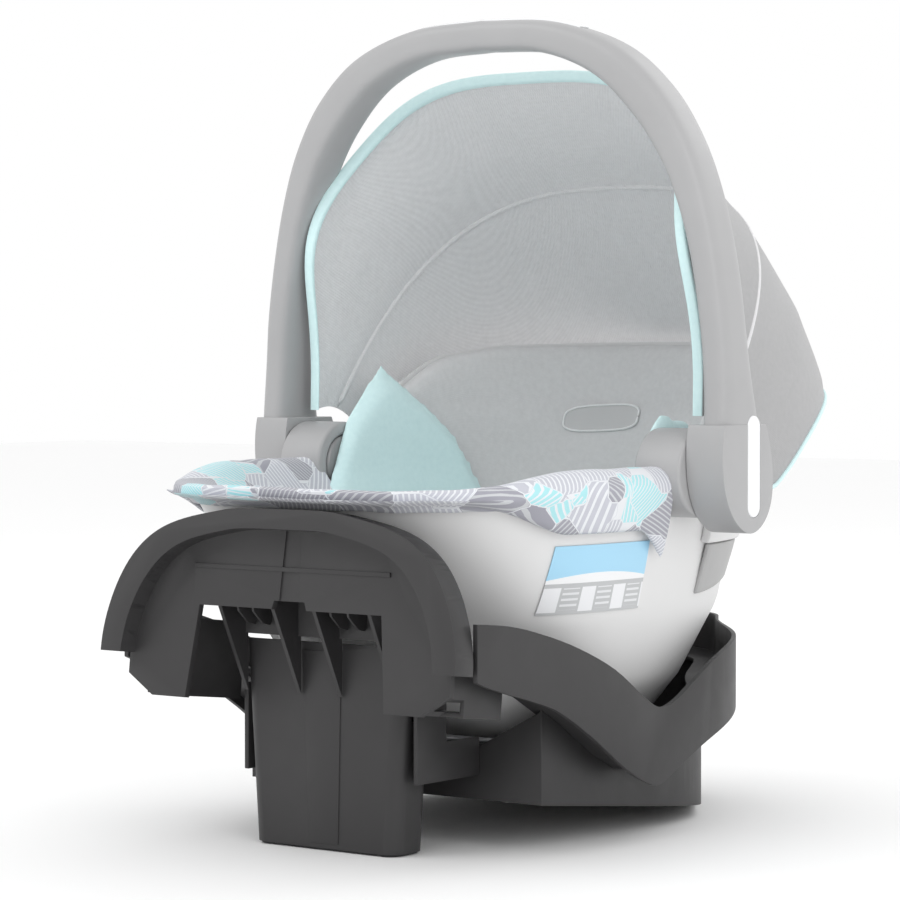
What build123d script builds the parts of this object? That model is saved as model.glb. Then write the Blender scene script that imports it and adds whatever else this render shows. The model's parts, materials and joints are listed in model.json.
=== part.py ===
"""Infant car seat: a rear-facing carrier latched on its vehicle base.

Millimetres, +Z up, -Y the child's foot end, +X the right side seen from the foot end.
The whole seat leans back by BASE_TILT because its recline foot is let down.
Pieces are modelled about the carry handle's pivot plane (Y = 0), then all of them are
moved together so that the origin is the bottom centre of the whole object.
"""
from build123d import *
from functools import lru_cache
import math
import os

os.makedirs("parts", exist_ok=True)

# ---- driving dimensions -------------------------------------------------------------
PIVOT_Z = 270.0              # height of the carry handle's pivot axis
HANDLE_TOP = 612.0           # top of the upright handle
HANDLE_HALF = 222.0          # half of the overall width
HUB_INNER_X = 190.0          # inner face of the handle's leg
DRUM_R, DRUM_INNER_X = 33.0, 149.0
BUTTON_R = 22.0
AXLE_R = 6.0

BASE_TILT = 6.3              # degrees; the underside rises from the rear contact line
REAR_CONTACT_Y = 165.0
WALL = 3.0                   # moulded wall
COLLAR_HALF, BODY_HALF = 169.0, 138.0
COLLAR_DRAW = 6.0            # how much narrower the collar is at the panel
GAP = 0.6                    # room between bodies that slide or turn past each other

FOOT_HALF, FOOT_TOP_HALF, FOOT_DEPTH, FOOT_FRONT_Y = 66.0, 76.0, 38.0, -212.0
FOOT_FACE_TOP, FOOT_BOX_TOP, FOOT_SOLE = 147.0, 96.0, 1.2
FOOT_LIFT = 30.0             # how far the foot slides up into the base
POD_FRONT_Y = -130.0         # front walls of the tub, behind the belt path

PANEL_FRONT_Y, PANEL_DEPTH, PANEL_FACE_RECESS = -270.0, 21.0, 16.0
PANEL_LEAN = 6.5
GUSSET_X = (-69.0, -19.0, 19.0, 69.0)

SHELL_WALL = 4.0
PAD_THICK = 15.0
PAD_INNER = SHELL_WALL + 0.6 + PAD_THICK    # from the shell's outside to the pad's face

CANOPY_THICK = 4.0
FRONT_BOW_DEG, REAR_BOW_DEG, CANOPY_END_DEG = 8.0, 37.0, 80.0
LATCH_BAR_R = 4.0
LATCH_BARS = ((-118.0, 74.0, 126.0), (150.0, 62.0, 72.0))   # (Y, Z, half length) of the cross bars

# Carrier shell stations: (Z, half width, foot-end Y, head-end Y)
SHELL_STATIONS = (
    (54.0, 80.0, -62.0, 84.0),
    (76.0, 108.0, -98.0, 112.0),
    (112.0, 132.0, -138.0, 150.0),
    (165.0, 150.0, -180.0, 198.0),
    (206.0, 159.0, -206.0, 206.0),
    (248.0, 167.0, -236.0, 212.0),
    (262.0, 171.0, -258.0, 216.0),
    (380.0, 174.0, -292.0, 262.0),
)
# Plan of the bucket as shares of its half width, and of its head-end Y for the shoulder
FOOT_CORNER, SHOULDER_CORNER, HEAD_CORNER = 0.55, 0.7, 0.39
SHOULDER_Y, HEAD_X = 0.34, 0.43

pieces = {}


# ---- helpers ------------------------------------------------------------------------
def offset_polygon(points, grow):
    """A convex polygon, counter-clockwise, with every side moved out by grow."""
    sides = []
    for (x0, y0), (x1, y1) in zip(points, points[1:] + points[:1]):
        length = math.hypot(x1 - x0, y1 - y0)
        nx, ny = (y1 - y0) / length, -(x1 - x0) / length
        sides.append((nx, ny, nx * x0 + ny * y0 + grow))
    moved = []
    for (a, b, c), (d, e, f) in zip(sides[-1:] + sides[:-1], sides):
        cross = a * e - b * d
        moved.append(((c * e - b * f) / cross, (a * f - c * d) / cross))
    return moved


def bucket_plan(half_x, y_foot, y_head, grow):
    """Plan of the bucket at one height: full at the foot end, narrowing to the head end."""
    shoulder, head = (half_x, SHOULDER_Y * y_head), (HEAD_X * half_x, y_head)
    right = [(half_x, y_foot), shoulder, head]
    left = [(-x, y) for x, y in reversed(right)]
    plan = make_face(Polyline(*offset_polygon(right + left, grow), close=True))
    for share, rank in ((FOOT_CORNER, 0), (SHOULDER_CORNER, 1), (HEAD_CORNER, 2)):
        corners = plan.vertices().sort_by(Axis.Y)
        pair = corners[:2] if rank == 0 else corners[-2:] if rank == 2 else corners.sort_by(Axis.X)
        if rank == 1:
            pair = [pair[0], pair[-1]]
            top = max(v.Y for v in plan.vertices())
            wide = [v for v in plan.vertices() if v.Y > y_foot + half_x * 0.7 and v.Y < top - 1]
            pair = sorted(wide, key=lambda v: v.Y)[-2:]
        plan = fillet(pair, max(share * half_x + grow, 3.0))
    return plan


@lru_cache(maxsize=None)
def shell_form(grow, floor_lift=0.0):
    """The carrier's bucket, grown or shrunk all round, with its floor lifted."""
    faces = []
    for i, (z, half_x, y_foot, y_head) in enumerate(SHELL_STATIONS):
        height = z + (floor_lift if i == 0 else 0.0)
        faces.append(Pos(0, 0, height) * bucket_plan(half_x, y_foot, y_head, grow))
    return loft(faces, ruled=True)


def smooth_line(points, parts=4):
    """A finer polyline through the same points, without their kinks."""
    fine = []
    for i in range(len(points) - 1):
        p1, p2 = points[i], points[i + 1]
        p0, p3 = points[max(i - 1, 0)], points[min(i + 2, len(points) - 1)]
        for j in range(parts):
            f = j / parts
            fine.append(tuple(0.5 * (2 * b + (c - a) * f + (2 * a - 5 * b + 4 * c - d) * f * f
                                     + (3 * b - a - 3 * c + d) * f ** 3)
                              for a, b, c, d in zip(p0, p1, p2, p3)))
    return fine + [points[-1]]


def side_block(points, half=300.0):
    """A prism along X whose side view is the polygon of (Y, Z) points."""
    outline = Polyline(*[(0, y, z) for y, z in points], close=True)
    return extrude(make_face(outline), half, both=True, dir=(1, 0, 0))


def block(x0, x1, y0, y1, z0, z1):
    """A box between two corners."""
    centre = ((x0 + x1) / 2, (y0 + y1) / 2, (z0 + z1) / 2)
    return Pos(*centre) * Box(x1 - x0, y1 - y0, z1 - z0)


def rod_x(radius, x0, x1, y, z):
    """A cylinder along X."""
    return Pos((x0 + x1) / 2, y, z) * Rot(0, 90, 0) * Cylinder(radius, abs(x1 - x0))


def mirrored(shape):
    return mirror(shape, Plane.YZ)


def both_sides(shape):
    """The shape and its mirror image as two solids of one node."""
    return Compound(children=[*solids_of(shape), *solids_of(mirrored(shape))])


def solids_of(shape):
    return list(shape.solids())


def group(*shapes):
    found = []
    for shape in shapes:
        found.extend(solids_of(shape))
    return Compound(children=found)


def underside_z(y):
    """Height of the base's tilted underside."""
    return max(0.0, (REAR_CONTACT_Y - y) * math.tan(math.radians(BASE_TILT))) + 1.5


def collar_plan(inset):
    """Plan of the base: sides that draw in to the front and to a rounded nose at the head end."""
    half, nose, front = COLLAR_HALF - inset, 250.0 - inset, -250.0
    right = Spline((half, 0), (150.0 - inset, 107), (118.0 - inset, 152), (70.0 - inset * 0.6, 208),
                   (0, nose), tangents=[(0, 1), (-1, 0)])
    side = [(half, 0), (half, -60), (half - COLLAR_DRAW, front)]
    mirrored_side = [(-x, y) for x, y in side]
    return make_face([right, mirror(right, Plane.YZ), Polyline(*side), Polyline(*mirrored_side),
                      Line(side[-1], mirrored_side[-1])])


# ---- base ---------------------------------------------------------------------------
COLLAR_TOP = ((-253, 174), (-210, 170), (-170, 161.5), (-127, 148.5), (-84, 130.5), (-47, 107.5), (-25, 98),
              (-4, 102), (25, 116), (60, 130), (110, 139), (190, 143), (252, 145))
COLLAR_LOW = ((-253, 137), (-228, 127.5), (-177, 114), (-148, 104), (-110, 83), (-70, 57), (-42, 44), (-25, 41.5),
              (3, 53), (40, 67), (90, 79), (150, 90), (252, 104))


def make_collar():
    """Upright band round the base, low beside the carrier's middle and high at both ends."""
    ring = extrude(collar_plan(0), 200) - extrude(collar_plan(4.0), 200)
    ring = ring - block(-200, 200, -260, -244, 0, 220)
    return ring & side_block(smooth_line(COLLAR_LOW) + smooth_line(COLLAR_TOP)[::-1])


def above_underside(lift):
    """Everything above the tilted underside, raised by lift."""
    return side_block([(-260, underside_z(-260) + lift), (REAR_CONTACT_Y, 1.5 + lift), (300, 1.5 + lift),
                       (300, 400), (-260, 400)])


@lru_cache(maxsize=None)
def make_lower_body():
    """Tub with a tilted underside, open above; its two pods stand behind the belt path."""
    inset = COLLAR_HALF - BODY_HALF
    outer, inner = extrude(collar_plan(inset), 160), extrude(collar_plan(inset + WALL), 160)
    hollow = (inner & above_underside(WALL)) - block(-200, 200, -300, POD_FRONT_Y + WALL, 0, 200)
    tub = (outer & above_underside(0.0)) - block(-200, 200, -300, POD_FRONT_Y, -10, 200) - hollow
    tub = tub & side_block([(y, z + 9) for y, z in COLLAR_LOW] + [(252, -5), (-253, -5)])
    wall_y = (POD_FRONT_Y - 1, POD_FRONT_Y + WALL + 1)
    tub = tub - shell_form(8.0) - block(-70, 70, *wall_y, 62, 200)
    slope = make_face(Polyline((70, 0, 68), (134, 0, 101), (134, 0, 130), (70, 0, 130), close=True))
    slope = Pos(0, wall_y[0], 0) * extrude(slope, wall_y[1] - wall_y[0], dir=(0, 1, 0))
    return tub - slope - mirrored(slope)


def make_deck():
    """Ledge that joins the tub to the collar and leaves the hole that the carrier sits in."""
    inset = COLLAR_HALF - BODY_HALF
    ledge = extrude(collar_plan(4.0), 200) & side_block(
        [(y, z + 9) for y, z in COLLAR_LOW] + [(y, z + 12.5) for y, z in COLLAR_LOW[::-1]])
    hole = extrude(collar_plan(inset + 12), 200)
    hole = hole - block(-200, 200, -300, -176, 0, 300)
    front = block(-200, 200, -260, -188, 0, 300) + block(-90, 90, -190, -160, 0, 300)
    return ledge - hole - shell_form(8.0) - front


def panel_outline(points):
    """A closed front-view outline, symmetric about X = 0, from right-hand (X, Z) points."""
    curve = Spline(*[(x, 0, z) for x, z in points], tangents=[(0, 0, 1), (-1, 0, 0)])
    base = Line(curve @ 0, (-points[0][0], 0, points[0][1]))
    return make_face([curve, mirror(curve, Plane.YZ), base])


PANEL_RIM = ((163, 140), (157, 176), (141, 208), (110, 233), (62, 245.5), (0, 249))
PANEL_RECESS = ((144, 128), (139, 166), (124, 196), (96, 220), (55, 231.5), (0, 234.5))
LEG_OUT, OPENING_TOP, OPENING_LOW = 148.0, 84.0, 93.0    # half widths of the legs and of the opening
LEG_LOW_Z, OPENING_Z = 110.0, 178.0
FIN_TIP_Y = FOOT_FRONT_Y - GAP - 2


def make_panel():
    """Anti-rebound panel: a deep rim round a recessed face, two legs and the foot's gussets."""
    back_y = PANEL_FRONT_Y + PANEL_DEPTH
    face_y = PANEL_FRONT_Y + PANEL_FACE_RECESS
    rim = extrude(panel_outline(PANEL_RIM), PANEL_DEPTH, dir=(0, 1, 0))
    recess = extrude(panel_outline(PANEL_RECESS), PANEL_FACE_RECESS, dir=(0, 1, 0))
    body = Pos(0, PANEL_FRONT_Y, 0) * (rim - recess)
    boxes = ((OPENING_TOP - 4, LEG_OUT, face_y, back_y, LEG_LOW_Z, 142.0),
             (OPENING_LOW, LEG_OUT - 2, back_y - 1, -190, LEG_LOW_Z + 1, LEG_LOW_Z + 4.5),
             (OPENING_LOW, OPENING_LOW + 3.5, back_y - 1, -190, LEG_LOW_Z + 1, 168),
             (LEG_OUT - 5.5, LEG_OUT - 2, back_y - 1, -190, LEG_LOW_Z + 1, 150))
    for box in boxes:
        body = body + both_sides(block(*box)).solids()
    opening = make_face(Polyline((-OPENING_LOW, 0, 100), (OPENING_LOW, 0, 100), (OPENING_TOP, 0, OPENING_Z),
                                 (16, 0, OPENING_Z), (14, 0, OPENING_Z + 6), (-14, 0, OPENING_Z + 6),
                                 (-16, 0, OPENING_Z), (-OPENING_TOP, 0, OPENING_Z), close=True))
    body = body - Pos(0, -300, 0) * extrude(opening, 300 + back_y, dir=(0, 1, 0))
    groove = make_face(Polyline((-9.5, 0, 182), (9.5, 0, 182), (7, 0, 236), (-7, 0, 236), close=True))
    body = body - Pos(0, face_y - 1, 0) * extrude(groove, 2.5, dir=(0, 1, 0))
    for side in (-1, 1):
        corner = make_face(Polyline((side * LEG_OUT, 0, LEG_LOW_Z - 1), (side * LEG_OUT, 0, LEG_LOW_Z + 15),
                                    (side * (LEG_OUT - 26), 0, LEG_LOW_Z - 1), close=True))
        body = body - Pos(0, -300, 0) * extrude(corner, 320 + face_y, dir=(0, 1, 0))
    lean = Pos(0, PANEL_FRONT_Y, 140) * Rot(-PANEL_LEAN, 0, 0) * Pos(0, -PANEL_FRONT_Y, -140)
    body = lean * body
    for x in GUSSET_X:
        fin = side_block([(FIN_TIP_Y, 112), (-246, 178), (-246, 205), (FIN_TIP_Y, 205)], 1.6)
        body = body + Pos(x, 0, 0) * fin
    for x in (-57, -43, 29, 45):
        rib = side_block([(-228, 163), (-238, 172), (-246, 204), (FIN_TIP_Y, 204), (FIN_TIP_Y, 168), (-220, 161)],
                         1.0)
        body = body + Pos(x, 0, 0) * rib
    body = body + block(-90, 90, -248, FIN_TIP_Y, 203, 206)
    return body + block(-OPENING_TOP, OPENING_TOP, FIN_TIP_Y - 3, FIN_TIP_Y, 154, 206)


def foot_plan(half, inset, z):
    mid_y = FOOT_FRONT_Y + FOOT_DEPTH / 2
    return Pos(0, mid_y, z) * RectangleRounded(2 * (half - inset), FOOT_DEPTH - 2 * inset, 12 - inset)


def make_foot():
    """Recline foot: an open-topped, tapered box whose front plate stands taller than its walls."""
    top = FOOT_FACE_TOP + 3
    taper = (FOOT_TOP_HALF - FOOT_HALF) / top
    box = loft([foot_plan(FOOT_HALF, 0, FOOT_SOLE), foot_plan(FOOT_TOP_HALF, 0, top)], ruled=True)
    floor = FOOT_SOLE + WALL
    core = loft([foot_plan(FOOT_HALF + taper * floor, WALL, floor),
                 foot_plan(FOOT_TOP_HALF + taper * 6, WALL, top + 6)], ruled=True)
    box = box - core
    box = box - block(-90, 90, FOOT_FRONT_Y + 12, 0, FOOT_BOX_TOP, 300)
    box = box - block(-90, 90, FOOT_FRONT_Y + 4, 0, 128, 300)
    face = make_face(Polyline((-11, 0, 5), (15, 0, 5), (18, 0, top - 6), (-18, 0, top - 6), close=True))
    strip = Pos(0, FOOT_FRONT_Y - 0.9, 0) * extrude(face, 1.9, dir=(0, 1, 0))
    web = block(-1.5, 1.5, FOOT_FRONT_Y + 2, FOOT_FRONT_Y + FOOT_DEPTH - 2, floor - 1, FOOT_BOX_TOP)
    return box + strip + web


def make_foot_pad():
    """Thin rubber tread under the foot."""
    return extrude(foot_plan(FOOT_HALF, 2.0, 0), FOOT_SOLE)


def make_foot_sleeve():
    """Channel that guides the foot on its back and both ends, carried out from the tub."""
    half = FOOT_TOP_HALF + GAP
    y1 = FOOT_FRONT_Y + FOOT_DEPTH + GAP
    inner = block(-half, half, FOOT_FRONT_Y - 1, y1, 0, 200)
    outer = block(-half - 4, half + 4, FOOT_FRONT_Y + 8, y1 + 4, 52, 116)
    arms = both_sides(block(half, half + 4, y1 + 3, POD_FRONT_Y, 52, 80))
    sleeve = outer - inner + arms.solids()
    return sleeve - shell_form(8.0) - block(20, 34, y1 - 1, y1 + 6, 60, 90)


FOOT_LOCK_Y = FOOT_FRONT_Y + FOOT_DEPTH + GAP + 0.8


def make_foot_lock():
    """Spring plunger that locks the foot, with a finger tab below it."""
    plunger = block(22, 32, FOOT_LOCK_Y, FOOT_LOCK_Y + 16, 68, 82)
    tab = block(14, 40, FOOT_LOCK_Y + 5, FOOT_LOCK_Y + 13, 55, 69)
    return plunger + tab


def make_foot_lock_spring():
    return Pos(27, FOOT_LOCK_Y + 26.5, 75) * Rot(90, 0, 0) * coil(4.0, 0.6, 18.0, 6)


def coil(radius, wire, length, turns):
    """Helical spring standing on its own axis, centred on the origin."""
    path = Helix(pitch=length / turns, height=length, radius=radius)
    start = Plane(origin=path @ 0, z_dir=path % 0)
    return Pos(0, 0, -length / 2) * sweep(start * Circle(wire), path=path)


def make_latch_bars():
    return group(*[rod_x(LATCH_BAR_R, -half, half, y, z) for y, z, half in LATCH_BARS])


def make_bar_brackets():
    """Cheeks that hold the cross bars above the tub's floor."""
    found = []
    for y, z, half in LATCH_BARS:
        for x in (-half + 5, half - 5):
            cheek = block(x - 2, x + 2, y - 9, y + 9, underside_z(y - 9) + WALL + 0.2, z + 8)
            found.append(cheek - rod_x(LATCH_BAR_R, x - 5, x + 5, y, z) - shell_form(5.0))
    return group(*found)


def make_base_screws():
    """Screw heads that stand proud of the tub's tilted underside."""
    found = []
    for x in (-84, 84):
        for y in (-100, 0, 90):
            head = Pos(x, y, underside_z(y) - 0.4) * Cylinder(3.5, 2.0)
            found.append(head - above_underside(-0.05))
    return group(*found)


def make_rear_pads():
    """Rubber pads under the head end, cut to the tilted underside."""
    pads = [Pos(x, 168, 0) * extrude(RectangleRounded(40, 36, 6), 6) - above_underside(-0.05) for x in (-40, 40)]
    return group(*pads)


# ---- carrier ------------------------------------------------------------------------
RIM_LINE = ((-320, 254), (-250, 256), (-150, 262), (-67, 266), (0, 268), (40, 282), (80, 330), (118, 358),
            (180, 366), (300, 368))


def below_rim(drop):
    return side_block([(y, z - drop) for y, z in RIM_LINE] + [(300, -10), (-320, -10)])


def drum_hole(extra=0.4):
    return group(rod_x(DRUM_R + extra, 120, 230, 0, PIVOT_Z), rod_x(DRUM_R + extra, -230, -120, 0, PIVOT_Z))


def without(shape, cutters):
    for cutter in cutters.solids():
        shape = shape - cutter
    return shape


def make_shell():
    wall = shell_form(0.0) - shell_form(-SHELL_WALL, SHELL_WALL)
    return without(wall & below_rim(0), drum_hole())


def make_seat_pad():
    pad = shell_form(-SHELL_WALL - 0.6, SHELL_WALL + 0.6)
    pad = pad - shell_form(-PAD_INNER, PAD_INNER)
    return without(pad & below_rim(1.0), drum_hole())


def make_rim_roll():
    """Padded fabric roll that wraps the rim at the foot end, ahead of the hubs."""
    form = shell_form(10.0) - shell_form(0.6)
    span = side_block([(-330, 268), (-250, 269), (-67, 272), (-44, 268), (-40, 222), (-73, 233), (-124, 230),
                       (-175, 235), (-222, 254), (-330, 254)])
    return form & span


def make_belt_flange():
    """Stepped band round the head end that carries the vehicle belt guides."""
    form = shell_form(8.0) - shell_form(0.6)
    span = side_block([(38, 240), (300, 240), (300, 196), (150, 188), (60, 178), (38, 178)])
    return without(form & span, drum_hole(2))


def make_drum(side):
    """Inner hub boss fixed to the shell, bored for the release button."""
    body = rod_x(DRUM_R, DRUM_INNER_X, HUB_INNER_X - GAP, 0, PIVOT_Z)
    body = body - rod_x(BUTTON_R + 0.3, DRUM_INNER_X - 5, DRUM_INNER_X + 20, 0, PIVOT_Z)
    body = body - rod_x(AXLE_R, DRUM_INNER_X, HUB_INNER_X + 5, 0, PIVOT_Z)
    return body if side > 0 else mirrored(body)


def make_axle(side):
    """Steel stub that the handle turns on."""
    stub = rod_x(AXLE_R, DRUM_INNER_X + 22, HUB_INNER_X + 14, 0, PIVOT_Z)
    return stub if side > 0 else mirrored(stub)


def make_button(side):
    cap = rod_x(BUTTON_R, DRUM_INNER_X - 1, DRUM_INNER_X + 9, 0, PIVOT_Z)
    return cap if side > 0 else mirrored(cap)


def make_button_spring(side):
    spring = Pos(DRUM_INNER_X + 14.5, 0, PIVOT_Z) * Rot(0, 90, 0) * coil(9.5, 0.8, 8.6, 3)
    return spring if side > 0 else mirrored(spring)


def make_insert_side(side):
    """Soft wing that lies against the pad beside the child's head and body."""
    form = shell_form(-PAD_INNER - 1.0, PAD_INNER + 1.0) - shell_form(-PAD_INNER - 12.0, PAD_INNER + 12.0)
    leaf = side_block([(-150, 196), (-60, 262), (-20, 262), (36, 300), (90, 352), (128, 352), (150, 300),
                       (110, 200), (40, 130), (-90, 130)])
    half = block(56, 240, -330, 330, 0, 420)
    wing = without(form & leaf & half & below_rim(2.0), drum_hole(3))
    return wing if side > 0 else mirrored(wing)


def make_insert_seat():
    form = shell_form(-PAD_INNER - 1.0, PAD_INNER + 1.0) - shell_form(-PAD_INNER - 12.0, PAD_INNER + 12.0)
    return form & block(-52, 52, -66, 96, 60, 120)


# Child's harness. It lies on the back and seat of the pad, clear of both inserts.
HARNESS_BACK = ((182, 214), (159, 150), (131, 118), (98, 100), (60, 97), (24, 97))
STRAP_X, STRAP_W, STRAP_T = 32.0, 30.0, 2.0


def strap_along(points, x0, x1, thick):
    """Webbing: a band of constant thickness whose side view follows (Y, Z) points."""
    upper = [Vector(0, y, z) for y, z in points]
    lower = []
    for i, p in enumerate(upper):
        a = upper[max(i - 1, 0)]
        b = upper[min(i + 1, len(upper) - 1)]
        run = (b - a).normalized()
        lower.append(p + Vector(0, run.Z, -run.Y) * thick)
    ring = [(p.Y, p.Z) for p in upper] + [(p.Y, p.Z) for p in reversed(lower)]
    return Pos((x0 + x1) / 2, 0, 0) * side_block(ring, (x1 - x0) / 2)


def make_shoulder_strap(side):
    x = side * STRAP_X
    return strap_along(HARNESS_BACK, x - STRAP_W / 2, x + STRAP_W / 2, STRAP_T)


def make_crotch_strap():
    return strap_along(((-58, 98), (-44, 99), (-25, 103)), -16, 16, STRAP_T)


BUCKLE = (-2.0, 108.0)          # (Y, Z) of the buckle's centre


def make_buckle():
    y, z = BUCKLE
    body = block(-24, 24, y - 22, y + 22, z - 8, z + 8)
    return body - block(-12.4, 12.4, y - 14.4, y + 10.4, z - 2, z + 9)


def make_buckle_button():
    y, z = BUCKLE
    return block(-12, 12, y - 14, y + 10, z + 1.5, z + 8.5)


def make_tongue(side):
    y, z = BUCKLE
    plate = block(2, 22, y + 22.3, y + 44, z - 2, z + 1)
    loop = block(18, 46, y + 30, y + 44, z - 2, z + 1)
    piece = plate + loop
    return piece if side > 0 else mirrored(piece)


def make_chest_clip(side):
    plate = block(0.5, 50, -12, 12, -3, 3) - block(18, 46, -4, 4, -4, 4)
    half = Pos(0, 141, 137.5) * Rot(48.8, 0, 0) * plate
    return half if side > 0 else mirrored(half)


def make_adjuster():
    housing = block(-20, 20, -106, -80, 106, 118)
    return housing - block(-8.4, 8.4, -100.4, -85.6, 110, 119)


def make_adjuster_button():
    return block(-8, 8, -100, -86, 112.5, 118.5)


def make_adjuster_strap():
    return strap_along(((-134, 150), (-122, 130), (-108, 116)), -9, 9, STRAP_T)


def make_splitter():
    """Metal yoke behind the back that joins both shoulder straps to the adjuster strap."""
    return block(-26, 26, 205, 207, 160, 188)


def make_canopy(angles):
    """Closed fabric shell lofted through radial planes about the handle's pivot axis."""
    return loft([canopy_strip(a, CANOPY_THICK) for a in angles])


def canopy_profile(angle):
    """(X, radius) points of the canopy's outer line in the radial plane at this angle."""
    t = (angle - FRONT_BOW_DEG) / (CANOPY_END_DEG - FRONT_BOW_DEG)
    top = 307 - 20 * math.sin(math.pi * min(t / 0.8, 1)) ** 0.8 - 16 * t
    foot = 42 + 38 * t
    side = 186
    return ((side, foot), (side, foot + 45), (side - 3, top * 0.55), (side - 15, top * 0.745),
            (side - 43, top * 0.87), (side - 92, top * 0.963), (0, top))


def canopy_strip(angle, thick, grow=0.0):
    a = math.radians(angle)
    plane = Plane(origin=(0, 0, PIVOT_Z), x_dir=(1, 0, 0), z_dir=(0, -math.cos(a), math.sin(a)))
    points = canopy_profile(angle)
    rings = []
    for inset in (-grow, thick - grow):
        scale_x, scale_r = (186 - inset) / 186, (points[-1][1] - inset) / points[-1][1]
        right = [(x * scale_x, points[0][1] if i == 0 else r * scale_r) for i, (x, r) in enumerate(points)]
        left = [(-x, r) for x, r in right[-2::-1]]
        rings.append(Spline(*(right + left)))
    outer, inner = rings
    ends = (Line(outer @ 1, inner @ 1), Line(outer @ 0, inner @ 0))
    return plane * make_face([outer, ends[0], inner, ends[1]])


def make_bow(angle, width=7.0):
    """Flat spring-steel bow just inside the fabric."""
    strip = canopy_strip(angle, 2.5, grow=-CANOPY_THICK - 2.0)
    a = math.radians(angle)
    return extrude(strip, width / 2, both=True, dir=(0, -math.cos(a), math.sin(a)))


LEVER_PIN_Y = 224.0


def make_release_lever():
    """Lever at the head end that frees the carrier from the base."""
    y = LEVER_PIN_Y
    grip = block(-46, 46, y + 11, y + 22, 196, 214)
    grip = grip - block(-34, 34, y + 18, y + 24, 200, 210)
    arms = block(-40, -34, y - 4, y + 12, 202, 210) + block(34, 40, y - 4, y + 12, 202, 210)
    return grip + arms


def make_lever_pin():
    return group(rod_x(2.5, -52, -40.4, LEVER_PIN_Y, 206), rod_x(2.5, 40.4, 52, LEVER_PIN_Y, 206))


# ---- carry handle -------------------------------------------------------------------
HANDLE_OUTER = ((HANDLE_HALF, 226), (HANDLE_HALF, 300), (219, 352), (212, 412), (202, 466), (187, 512), (160, 557),
                (118, 590), (62, 608), (0, HANDLE_TOP))
HANDLE_INNER = ((198, 226), (198, 300), (196, 352), (190, 410), (180, 455), (167, 492), (142, 532), (104, 565),
                (56, 584), (0, 588))


def front_outline(points):
    curve = Spline(*[(x, 0, z) for x, z in points], tangents=[(0, 0, 1), (-1, 0, 0)])
    return [curve, mirror(curve, Plane.YZ), Line(curve @ 0, (-points[0][0], 0, points[0][1]))]


def make_handle():
    ring = extrude(make_face(front_outline(HANDLE_OUTER)), 60, both=True, dir=(0, 1, 0))
    ring = ring - extrude(make_face(front_outline(HANDLE_INNER)), 70, both=True, dir=(0, 1, 0))
    ring = ring - block(-260, 260, -80, 80, 0, 306)
    width = [(-22, 300), (-21, 340), (-20, 400), (-22, 470), (-27, 540), (-29, 620), (9, 620), (10, 560),
             (16, 480), (20, 400), (27, 340), (34, 300)]
    arch = ring & side_block(width)
    arch = without(arch, make_grip())
    return arch - side_insert_form(0.2) - mirrored(side_insert_form(0.2))


HUB_OUTLINE = ((-22, 306), (-24, 270), (-10, 238), (16, 226), (38, 240), (44, 270), (34, 306))


def make_hub(side):
    """Hollow end of the handle's leg: rounded bulb with a thumb recess and insert seat."""
    curve = Spline(*[(0, y, z) for y, z in HUB_OUTLINE])
    face = make_face([curve, Line(curve @ 1, curve @ 0)])
    hub = Pos(HUB_INNER_X, 0, 0) * extrude(face, HANDLE_HALF - HUB_INNER_X, dir=(1, 0, 0))
    hub = hub - rod_x(AXLE_R + 0.05, HUB_INNER_X - 5, HUB_INNER_X + 15, 0, PIVOT_Z)
    hub = hub - side_insert_form(0.2)
    return hub if side > 0 else mirrored(hub)


def side_insert_form(extra):
    plan = SlotCenterToCenter(58, 17 + 2 * extra)
    upright = Plane(origin=(HANDLE_HALF - 3 - extra, 18, 275), x_dir=(0, 0, 1), z_dir=(1, 0, 0))
    return extrude(upright * plan, 3 + extra)


def make_side_insert(side):
    insert = side_insert_form(0.0)
    return insert if side > 0 else mirrored(insert)


def make_grip():
    """White insert let into the top of the grip."""
    ring = extrude(make_face(front_outline(HANDLE_OUTER)), 8.0, both=True, dir=(0, 1, 0))
    return ring & block(-58, 58, -18, -2, 604, 620)


def make_label():
    """Printed film on the shell's right side."""
    form = shell_form(1.6) - shell_form(0.6)
    return form & block(120, 200, -174, -60, 172, 222)


def make_patch():
    form = shell_form(-PAD_INNER - 0.6) - shell_form(-PAD_INNER - 1.8)
    return form & block(-62, 6, 150, 270, 292, 316)


# ---- build every node ---------------------------------------------------------------
def add(name, shape):
    pieces[name] = shape


add("base_lower_body", make_lower_body())
add("base_deck", make_deck())
add("base_collar", make_collar())
add("anti_rebound_panel", make_panel())
add("foot_guide_sleeve", make_foot_sleeve())
add("latch_bars", make_latch_bars())
add("latch_bar_brackets", make_bar_brackets())
add("base_screws", make_base_screws())
add("rear_rest_pads", make_rear_pads())
add("recline_foot", make_foot())
add("foot_tread_pad", make_foot_pad())
add("foot_lock_plunger", make_foot_lock())
add("foot_lock_spring", make_foot_lock_spring())
add("carrier_shell", make_shell())
add("belt_guide_flange", make_belt_flange())
add("seat_pad", make_seat_pad())
add("rim_fabric_roll", make_rim_roll())
add("insert_seat", make_insert_seat())
add("crotch_strap", make_crotch_strap())
add("buckle_body", make_buckle())
add("buckle_button", make_buckle_button())
add("adjuster_housing", make_adjuster())
add("adjuster_button", make_adjuster_button())
add("adjuster_strap", make_adjuster_strap())
add("splitter_plate", make_splitter())
add("side_label", make_label())
add("name_patch_blank", make_patch())
add("carrier_release_lever", make_release_lever())
add("release_lever_pins", make_lever_pin())
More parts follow.
